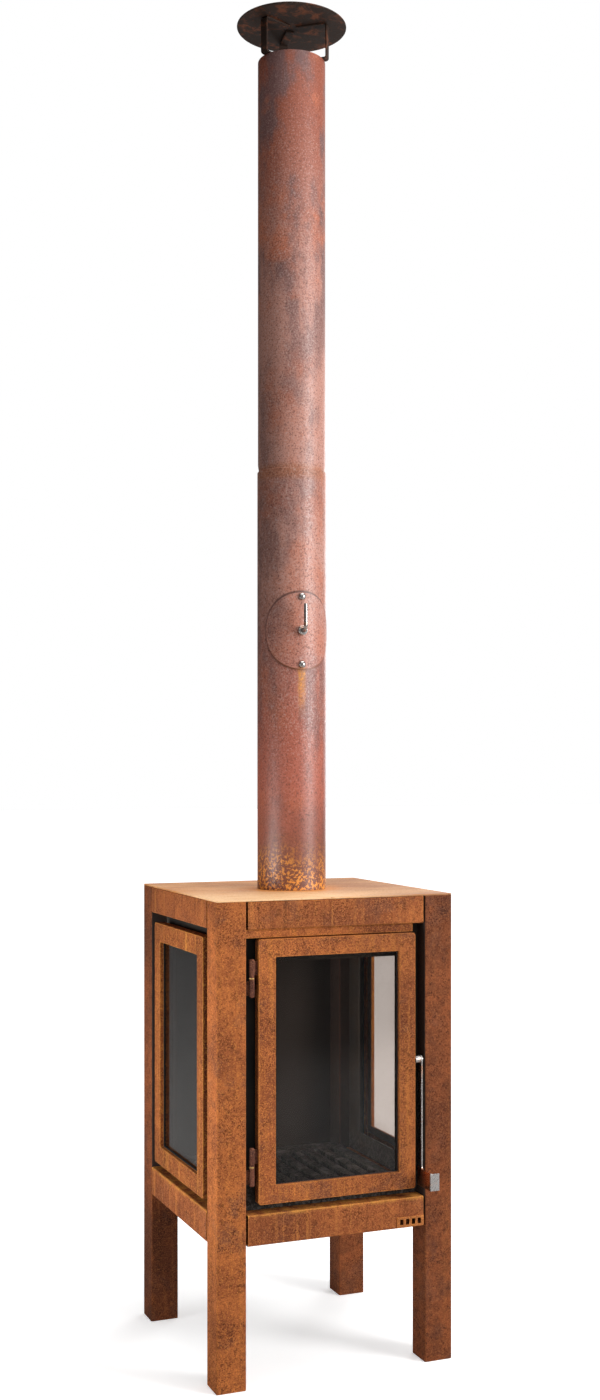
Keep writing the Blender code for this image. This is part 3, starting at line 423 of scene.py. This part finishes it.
def corten_flue(name, on_cover=False):
    """The flue: a fine rust with a satin, speckled sheen, red low down, a lighter pinkish grey in
    the middle that is partly a painted pool of light, and brown with plum patches towards the top,
    with grains of yellow rust at its dark foot and a run of them under the damper's lower bolt. A
    ring of grime and painted shadow lies round the cover of the damper, and the joint of the two
    pipes has an edge of rust. Each change lies between two heights."""
    tree = Tree(name)
    red, lit_pink, brown = (0.44, 0.110, 0.060), (0.52, 0.240, 0.180), (0.31, 0.062, 0.020)
    plum, orange, yellow = (0.150, 0.070, 0.066), (0.56, 0.145, 0.055), (0.80, 0.32, 0.045)
    tan, umber, silver = (0.42, 0.135, 0.05), (0.165, 0.045, 0.019), (0.54, 0.40, 0.36)
    pitted, grime_and_shadow_colour, stained = (0.10, 0.032, 0.022), (0.075, 0.026, 0.018), (0.24, 0.066, 0.016)
    turns_lit_pink, turns_brown, turns_patchy = (1.40, 1.75), (2.20, 2.75), (2.15, 2.45)
    gains_sheen, loses_sheen = (1.15, 1.55), (2.95, 2.35)
    dark_foot, yellow_foot = (1.26, 1.06), (1.14, 1.02)

    # The lighter pinkish grey band in the middle is partly a painted pool of light
    height = tree.math("ADD", tree.axis("Z"), tree.product(tree.noise(4.0, 3.0), 0.30))
    colour = tree.mix(tree.band(height, *turns_lit_pink), red, lit_pink)
    colour = tree.mix(tree.band(height, *turns_brown), colour, brown)
    patches = tree.noise(1.0, 5.0, 0.66, tree.stretch((11.0, 11.0, 4.5)))
    upper = tree.band(height, *turns_patchy, 0.55, 0.90)
    colour = tree.mix(tree.product(tree.band(patches, 0.47, 0.60), upper), colour, plum)
    flush = tree.band(tree.noise(8.0, 4.0, 0.6), 0.50, 0.64)
    colour = tree.mix(tree.product(flush, upper, 0.85), colour, orange)

    joint = tree.math("SUBTRACT", tree.axis("Z"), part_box("flue_lower")[1][2])
    joint = tree.math("ABSOLUTE", tree.math("ADD", joint, tree.product(patches, 0.012)))
    colour = tree.mix(tree.product(tree.band(joint, 0.022, 0.006), 0.7), colour, tan)
    foot = tree.math("ADD", tree.axis("Z"), tree.product(tree.noise(22.0, 4.0, 0.7), 0.16))
    colour = tree.mix(tree.product(tree.band(foot, *dark_foot), 0.92), colour, umber)

    grain = tree.noise(300.0, 3.0, 0.75)
    # The silver specks are partly grey speckle of the rust and partly a painted sheen, strongest in the middle of
    # the pipe
    sheen = tree.band(height, *loses_sheen, 0.25, 1.0)
    sheen = tree.product(tree.band(height, *gains_sheen), sheen)
    specks = tree.product(tree.band(grain, 0.52, 0.64), tree.band(sheen, 0.0, 1.0, 0.10, 0.55))
    colour = tree.mix(specks, colour, silver)
    colour = tree.mix(tree.product(tree.band(grain, 0.48, 0.37), 0.75), colour, pitted)

    grains = tree.band(tree.noise(190.0, 3.0, 0.70), 0.495, 0.545)
    colour = tree.mix(tree.product(grains, tree.band(foot, *yellow_foot)), colour, yellow)
    reach, turn = round_cover(tree)
    run = tree.product(bolt_run(tree, turn), tree.math("MAXIMUM", grains, 0.45))
    colour = tree.mix(run, colour, yellow)
    # Round the cover's edge, on the cover and on the pipe, a ring of grime and painted shadow, more orange below
    # the damper's middle
    low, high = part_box("damper_cover")
    edge = (high[2] - low[2]) / 2
    if on_cover:
        grime_and_shadow = tree.band(reach, edge - 0.0030, edge - 0.0005)
    else:
        grime_and_shadow = tree.band(reach, edge + 0.0045, edge + 0.001)
    middle = damper_place()[3]
    stain = tree.mix(tree.band(tree.axis("Z"), middle, middle - 0.08), grime_and_shadow_colour, stained)
    colour = tree.mix(tree.product(grime_and_shadow, 0.75), colour, stain)

    rough = tree.band(grain, 0.3, 0.7, 0.54, 0.40)
    return tree.finish(colour, rough, tree.bump(grain, 0.0004, 0.45), specular=0.80)


def bolt_run(tree, turn):
    """The mask of the run of rust below the damper's lower bolt. turn is the angle round the
    pipe from the bolt."""
    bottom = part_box("damper_bolt_lower")[0][2]
    wander = tree.math("SUBTRACT", tree.noise(40.0, 3.0), 0.5)
    side = tree.math("ABSOLUTE", tree.math("ADD", turn, tree.product(wander, 0.10)))
    narrow = tree.band(side, 0.16, 0.06)
    height = tree.axis("Z")
    below = tree.band(height, bottom + 0.004, bottom - 0.002)
    return tree.product(narrow, below, tree.band(height, bottom - 0.110, bottom - 0.010))


def corten_cap(name):
    """Rust blackened by smoke: near black, with flakes of rust showing through."""
    tree = Tree(name)
    black, rust, brown = (0.030, 0.014, 0.008), (0.20, 0.055, 0.018), (0.10, 0.048, 0.026)
    flakes = tree.band(tree.noise(30.0, 5.0, 0.65, distortion=0.8), 0.50, 0.64)
    colour = tree.mix(flakes, black, rust)
    fine = tree.noise(260.0, 3.0, 0.65)
    colour = tree.mix(tree.product(tree.band(fine, 0.5, 0.66), 0.5), colour, brown)
    rough = tree.band(fine, 0.3, 0.7, 0.60, 0.88)
    return tree.finish(colour, rough, tree.bump(fine, 0.0005, 0.6), specular=0.35)


def sooty_steel(name):
    """Matt black sheet with clouds of brown soot and a dusting of ash low down."""
    tree = Tree(name)
    black, brown, grey = (0.018, 0.017, 0.016), (0.050, 0.040, 0.031), (0.17, 0.155, 0.14)
    clouds = tree.band(tree.noise(9.0, 5.0, 0.6), 0.35, 0.68)
    colour = tree.mix(clouds, black, brown)
    fine = tree.noise(190.0, 4.0, 0.65)
    height = tree.math("ADD", tree.axis("Z"), tree.product(fine, 0.08))
    low = tree.product(tree.band(height, 0.47, 0.36), 0.65)
    ash = tree.product(tree.band(fine, 0.46, 0.60), low)
    colour = tree.mix(ash, colour, grey)
    rough = tree.band(clouds, 0.0, 1.0, 0.62, 0.93)
    return tree.finish(colour, rough, tree.bump(fine, 0.0004, 0.45), specular=0.3)


def grate_iron(name):
    """Cast bars with the pebbled skin of a sand mould and patches of grey ash."""
    tree = Tree(name)
    black, brown, grey = (0.022, 0.021, 0.021), (0.070, 0.060, 0.052), (0.24, 0.22, 0.20)
    pebbles = tree.noise(150.0, 4.0, 0.6)
    colour = tree.mix(tree.band(pebbles, 0.35, 0.65), black, brown)
    ash = tree.band(tree.noise(24.0, 4.0, 0.6), 0.48, 0.66)
    colour = tree.mix(tree.product(ash, 0.55), colour, grey)
    rough = tree.band(pebbles, 0.3, 0.7, 0.80, 0.60)
    return tree.finish(colour, rough, tree.bump(pebbles, 0.0009, 0.8), metallic=0.2)


def stainless(name, painted_reflection_on=None):
    """Sheet and drawn bar, brushed aslant, with faint brown stains. The foot of the handle
    painted_reflection_on, behind its tab, carries a painted reflection of the rusted leg in that brown."""
    tree = Tree(name)
    dim, bright, rust_and_reflection = (0.38, 0.355, 0.34), (0.60, 0.57, 0.55), (0.78, 0.32, 0.12)
    x, y, z = (tree.axis(letter) for letter in "XYZ")
    slant = tree.add("ShaderNodeCombineXYZ")
    tree.feed(slant.inputs[0], tree.product(tree.math("SUBTRACT", z, x), 900.0))
    tree.feed(slant.inputs[1], tree.product(y, 900.0))
    tree.feed(slant.inputs[2], tree.product(tree.math("ADD", z, x), 45.0))
    lines = tree.noise(1.0, 4.0, 0.7, slant.outputs[0])
    colour = tree.mix(tree.band(lines, 0.36, 0.64), dim, bright)
    stain = tree.product(tree.band(tree.noise(70.0, 4.0, 0.6), 0.53, 0.70), 0.55)
    # The handle's foot behind its tab gets a painted reflection of the rusted leg, in the stains' brown
    if painted_reflection_on is not None:
        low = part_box(painted_reflection_on)[0]
        behind = tree.band(y, low[1] + 0.003, low[1] + 0.005)
        beneath = tree.band(z, low[2] + 0.042, low[2] + 0.034)
        stain = tree.math("MAXIMUM", stain, tree.product(behind, beneath, 0.8))
    colour = tree.mix(stain, colour, rust_and_reflection)
    rough = tree.band(lines, 0.3, 0.7, 0.20, 0.34)
    return tree.finish(colour, rough, tree.bump(lines, 0.0002, 0.35), metallic=1.0)


def brass(name):
    """Turned brass with a dull, spotted skin."""
    tree = Tree(name)
    bright, dull = (0.72, 0.46, 0.16), (0.32, 0.18, 0.07)
    spots = tree.noise(320.0, 3.0, 0.6)
    colour = tree.mix(tree.band(spots, 0.45, 0.65), bright, dull)
    rough = tree.band(spots, 0.3, 0.7, 0.30, 0.55)
    return tree.finish(colour, rough, tree.bump(spots, 0.0002, 0.4), metallic=1.0)


def woven_fibre(name):
    """Black fibre tape and rope: two crossing sets of strands."""
    tree = Tree(name)
    black, worn, dusty = (0.008, 0.008, 0.009), (0.040, 0.038, 0.040), (0.085, 0.075, 0.070)
    x, y, z = (tree.axis(letter) for letter in "XYZ")
    across = tree.math("ADD", x, y)
    strands = []
    for sign in ("ADD", "SUBTRACT"):
        slant = tree.math(sign, across, z)
        strands.append(tree.math("SINE", tree.product(slant, 1900.0)))
    weave = tree.math("MAXIMUM", *strands)
    fuzz = tree.noise(700.0, 3.0, 0.7)
    colour = tree.mix(tree.band(weave, -0.4, 1.0), black, worn)
    colour = tree.mix(tree.product(tree.band(fuzz, 0.5, 0.7), 0.5), colour, dusty)
    normal = tree.bump(fuzz, 0.0003, 0.5, tree.bump(weave, 0.0006, 0.7))
    return tree.finish(colour, tree.band(fuzz, 0.3, 0.7, 0.80, 0.95), normal, specular=0.2)


def fire_glass(node):
    """Clear glass with a warm grey cast and a film of soot that thickens towards its edges.
    Light from the lamps passes through it."""
    tree = Tree("glass_" + node)
    clear, smoky, most = (0.79, 0.735, 0.70), (0.20, 0.13, 0.085), 0.22
    low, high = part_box(node)
    wide = 0 if high[0] - low[0] > high[1] - low[1] else 1
    reach = []
    for index in (wide, 2):
        middle, half = (low[index] + high[index]) / 2, (high[index] - low[index]) / 2
        offset = tree.math("SUBTRACT", tree.axis("XYZ"[index]), middle)
        reach.append(tree.math("DIVIDE", tree.math("ABSOLUTE", offset), half))
    edge = tree.math("MAXIMUM", *reach)
    smoke = tree.noise(11.0, 4.0, 0.6)
    near_edge = tree.band(tree.math("ADD", edge, tree.product(smoke, 0.22)), 0.88, 1.10)
    film = tree.product(near_edge, most)
    glass = tree.finish(tree.mix(film, clear, smoky), tree.band(film, 0.0, most, 0.0, 0.02))
    tree.shader.inputs["Transmission Weight"].default_value = 1.0
    tree.shader.inputs["IOR"].default_value = 1.30
    path = tree.add("ShaderNodeLightPath")
    through = tree.add("ShaderNodeBsdfTransparent")
    through.inputs["Color"].default_value = (*clear, 1.0)
    either = tree.math("MAXIMUM", path.outputs["Is Shadow Ray"], path.outputs["Is Diffuse Ray"])
    blend = tree.add("ShaderNodeMixShader")
    tree.feed(blend.inputs[0], either)
    tree.feed(blend.inputs[1], tree.shader.outputs[0])
    tree.feed(blend.inputs[2], through.outputs[0])
    tree.feed(tree.output.inputs["Surface"], blend.outputs[0])
    return glass


def flue_centre():
    """Where the flue's axis meets the top plate."""
    low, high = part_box("flue_lower")
    return ((low[0] + high[0]) / 2, (low[1] + high[1]) / 2, low[2])


# ------------------------------------------------------- dressing of the solids


def edge_softener():
    """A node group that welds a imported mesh's triangles together and shades it smooth, so that
    bevels and rounded stretches have normals of their own."""
    group = bpy.data.node_groups.new("weld_and_smooth", "GeometryNodeTree")
    group.interface.new_socket("Geometry", in_out="INPUT", socket_type="NodeSocketGeometry")
    group.interface.new_socket("Geometry", in_out="OUTPUT", socket_type="NodeSocketGeometry")
    start = group.nodes.new("NodeGroupInput")
    forget = group.nodes.new("GeometryNodeRemoveAttribute")
    forget.inputs["Name"].default_value = "custom_normal"
    merge = group.nodes.new("GeometryNodeMergeByDistance")
    merge.inputs["Distance"].default_value = WELD
    smooth = group.nodes.new("GeometryNodeSetShadeSmooth")
    end = group.nodes.new("NodeGroupOutput")
    group.links.new(start.outputs[0], forget.inputs["Geometry"])
    group.links.new(forget.outputs[0], merge.inputs["Geometry"])
    group.links.new(merge.outputs[0], smooth.inputs["Geometry"])
    group.links.new(smooth.outputs[0], end.inputs[0])
    return group


def soften(obj, group, width):
    """Small rounds on every hard edge, with the flat faces kept flat by weighted normals."""
    weld = obj.modifiers.new("weld", "NODES")
    weld.node_group = group
    bevel = obj.modifiers.new("rounds", "BEVEL")
    bevel.width = width
    bevel.segments = 2
    bevel.limit_method = "ANGLE"
    bevel.angle_limit = BEVEL_ANGLE
    normals = obj.modifiers.new("normals", "WEIGHTED_NORMAL")
    normals.weight = 50
    normals.keep_sharp = False


def first_match(table, node):
    """What a table says for the first of its starts that a node's name has."""
    return next(value for starts, value in table if node.startswith(starts))


def corten_finishes():
    """The rusted finishes of the body's tubes, frames and sheets, by what they are on."""
    # bright is the lighter copy of the posts' rust, for the front left post, as painted light; dull and dark are
    # the darker copy, for the other posts, as painted shade, and the rear panel uses them too
    bright, tan = (0.47, 0.138, 0.036), (0.72, 0.26, 0.045)
    mid, deep, sandy = (0.44, 0.130, 0.036), (0.24, 0.065, 0.022), (0.60, 0.215, 0.05)
    dull, dark = (0.27, 0.073, 0.023), (0.125, 0.036, 0.014)
    rail_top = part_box("lower_rail_front")[1][2]
    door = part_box("door_frame")
    return {
        "bright": corten("corten_painted_lit", bright, deep, tan, 0.22, 0.55, sooty="post"),
        "rail": corten("corten_rail", mid, deep, sandy, 0.60, 0.40, 0.9),
        # The lower rails carry a painted yellow highlight along their top edge
        "ledge": corten("corten_ledge", mid, deep, sandy, 0.60, 0.30, 0.9,
                        highlit_above=rail_top - 0.0010),
        # This finish is painted darker from left to right across the door's width, as painted shade
        "frame": corten("corten_frame", mid, deep, tan, 0.30, 0.40, 1.0,
                        painted_shade_over=(door[0][0], door[1][0])),
        "bloom": corten("corten_bloom", (0.42, 0.118, 0.031), (0.23, 0.060, 0.018),
                        (0.86, 0.36, 0.058), 0.42, 0.1, 0.9),
        "badge": corten("corten_badge", (0.50, 0.18, 0.055), (0.30, 0.092, 0.030),
                        tan, 0.3, 0.1, 0.9),
        "dull": corten("corten_painted_shaded", dull, dark, (0.38, 0.125, 0.034), 0.20, 0.30,
                       sooty="post"),
        "hinge": corten("corten_hinge", (0.17, 0.060, 0.035), (0.085, 0.028, 0.018),
                        (0.36, 0.13, 0.06), 0.1, 0.3, 0.8),
        "inner": corten("corten_inner", dull, dark, (0.36, 0.12, 0.04), 0.3, 0.4,
                        sooty="panel"),
        "top": corten_top("corten_top", tan),
    }


def dress_nodes():
    """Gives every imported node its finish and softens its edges. Returns the finishes that
    aren't rust."""
    rusts = corten_finishes()
    plain = {
        "corten_flue": corten_flue("corten_flue"),
        "damper_cover": corten_flue("corten_cover", on_cover=True),
        "corten_cap": corten_cap("corten_cap"),
        "sooty_steel": sooty_steel("sooty_steel"),
        "grate_iron": grate_iron("grate_iron"),
        "stainless": stainless("stainless"),
        "handle_lever": stainless("lever_stain_and_reflection", painted_reflection_on="handle_lever"),
        "brass": brass("brass"),
        "gasket": woven_fibre("gasket"),
    }
    group = edge_softener()
    for node, obj in NODES.items():
        slot = SLOTS[node]
        if slot == "corten":
            finish = rusts[first_match(RUSTS, node)]
        elif slot == "glass":
            finish = fire_glass(node)
        elif node in plain:
            finish = plain[node]
        else:
            finish = plain[slot]
        for place in obj.material_slots:
            place.material = finish
        soften(obj, group, first_match(ROUNDS, node))
    return plain


# --------------------------------------------------------------- added pieces


def screw_rings():
    """The rings of a socket screw's head, from its foot to the bottom of its hexagonal socket,
    as (radius, height, hexagonal)."""
    rim = SCREW_SOCKET * SCREW_RIM
    rings = [(SCREW_RADIUS, 0.0, False), (SCREW_RADIUS, SCREW_STRAIGHT * SCREW_RISE, False)]
    for step in (1, 2, 3):
        angle = math.radians(22.5 * step)
        across = rim + (SCREW_RADIUS - rim) * math.cos(angle)
        up = SCREW_STRAIGHT + (1.0 - SCREW_STRAIGHT) * math.sin(angle)
        rings.append((across, SCREW_RISE * up, False))
    rings.append((rim, SCREW_RISE, False))
    for height in (SCREW_RISE, SCREW_RISE - SCREW_SOCKET_DEPTH):
        rings.append((SCREW_SOCKET, height, True))
    return rings


def hexagon_reach(radius, angle):
    """How far the side of a hexagon is from its middle, in a direction."""
    side = (angle + math.pi / 6) % (math.pi / 3) - math.pi / 6
    return radius * math.cos(math.pi / 6) / math.cos(side)


def add_screw(name, place, body):
    """A socket screw whose head stands up along +Y from a place."""
    shape = bmesh.new()
    loops = []
    for radius, height, hexagonal in screw_rings():
        loop = []
        for index in range(SCREW_STEPS):
            angle = 2 * math.pi * index / SCREW_STEPS
            reach = hexagon_reach(radius, angle) if hexagonal else radius
            spot = (reach * math.cos(angle), height, reach * math.sin(angle))
            loop.append(shape.verts.new(spot))
        loops.append(loop)
    for low, high in zip(loops, loops[1:]):
        for index in range(SCREW_STEPS):
            after = (index + 1) % SCREW_STEPS
            shape.faces.new((low[index], low[after], high[after], high[index]))
    shape.faces.new(loops[0])
    shape.faces.new(loops[-1])
    bmesh.ops.recalc_face_normals(shape, faces=shape.faces)
    mesh = bpy.data.meshes.new(name)
    shape.to_mesh(mesh)
    shape.free()
    screw = bpy.data.objects.new(name, mesh)
    screw.location = place
    bpy.context.scene.collection.objects.link(screw)
    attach(screw, body)
    return screw


def build_screws(finish):
    """The screws that hold the ring behind the door's glass: one in each corner and one in the
    middle of each side."""
    low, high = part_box("door_glass_retainer")
    across, up = (
        [low[axis] + SCREW_INSET, (low[axis] + high[axis]) / 2, high[axis] - SCREW_INSET]
        for axis in (0, 2)
    )
    count = 0
    for row, z in enumerate(up):
        for column, x in enumerate(across):
            if row == column == 1:
                continue
            count += 1
            place = (x, high[1] - SCREW_SUNK, z)
            screw = add_screw(f"retainer_screw_{count}", place, "door")
            screw.data.materials.append(finish)


# ---------------------------------------------------------------------- studio


def build_floor():
    """A wide pale floor. For the camera it glows more away from the object and so has no
    horizon, and it is a darker grey for the rest of the light."""
    mesh = bpy.data.meshes.new("floor")
    shape = bmesh.new()
    bmesh.ops.create_grid(shape, x_segments=1, y_segments=1, size=FLOOR_HALF)
    shape.to_mesh(mesh)
    shape.free()
    floor = bpy.data.objects.new("floor", mesh)
    floor.location = (0, 0, FLOOR_Z)
    bpy.context.scene.collection.objects.link(floor)
    tree = Tree("floor")
    length = tree.add("ShaderNodeVectorMath", operation="LENGTH")
    tree.feed(length.inputs[0], tree.coords)
    straight, through = tree.seen()
    far = tree.band(length.outputs["Value"], FLOOR_NEAR, FLOOR_FAR, FLOOR_GLOW_NEAR,
                    FLOOR_GLOW_FAR)
    glow = tree.product(far, straight)
    glow = tree.math("MAXIMUM", glow, tree.product(through, FLOOR_BEHIND_GLASS))
    tree.feed(tree.shader.inputs["Emission Strength"], glow)
    tree.shader.inputs["Emission Color"].default_value = WHITE
    tint = tree.mix(straight, FLOOR_TINT, FLOOR_SEEN)
    mesh.materials.append(tree.finish(tint, 0.8, specular=0.1))


def build_world():
    """A grey studio all round, darker on one side and brighter on another. The camera sees it
    as white, straight or through glass."""
    world = bpy.data.worlds.new("studio")
    bpy.context.scene.world = world
    tree = Nodes(world)
    way = tree.add("ShaderNodeTexCoord").outputs["Generated"]
    straight, through = tree.seen()
    level = tree.band(tree.toward(way, SHADED_SIDE), *SHADED_SPAN, WORLD_GREY, WORLD_SHADE)
    lit = tree.band(tree.toward(way, LIT_SIDE), *LIT_SPAN, 0.0, WORLD_LIT)
    level = tree.math("ADD", level, lit)
    for mask in (through, straight):
        level = tree.math("MAXIMUM", level, tree.product(mask, BACKDROP_WHITE))
    background = tree.nodes["Background"]
    background.inputs["Color"].default_value = WHITE
    tree.feed(background.inputs["Strength"], level)


def add_softbox(name, place, target, size, power, spread):
    """A rectangular lamp at a place, facing a target."""
    lamp = bpy.data.lights.new(name, "AREA")
    lamp.shape = "RECTANGLE"
    lamp.size, lamp.size_y = size
    lamp.energy = power
    lamp.spread = math.radians(spread)
    obj = bpy.data.objects.new(name, lamp)
    obj.location = place
    aim = Vector(target) - Vector(place)
    obj.rotation_euler = aim.to_track_quat("-Z", "Y").to_euler()
    bpy.context.scene.collection.objects.link(obj)


def build_lights():
    """A tall softbox to the right of the camera, a low one by the left side, one above, and a
    weak one behind."""
    for softbox in SOFTBOXES:
        add_softbox(*softbox)


def build_camera():
    """The view of the object from in front of the door's hinge side."""
    camera = bpy.data.cameras.new("camera")
    camera.lens = CAMERA_LENS
    camera.shift_x, camera.shift_y = CAMERA_SHIFT
    obj = bpy.data.objects.new("camera", camera)
    obj.location = CAMERA_PLACE
    obj.rotation_euler = (math.radians(90), 0.0, CAMERA_TURN)
    bpy.context.scene.collection.objects.link(obj)
    bpy.context.scene.camera = obj


bpy.context.scene.view_settings.view_transform = "Standard"
build_camera()
finishes = dress_nodes()
build_screws(finishes["stainless"])
build_floor()
build_world()
build_lights()
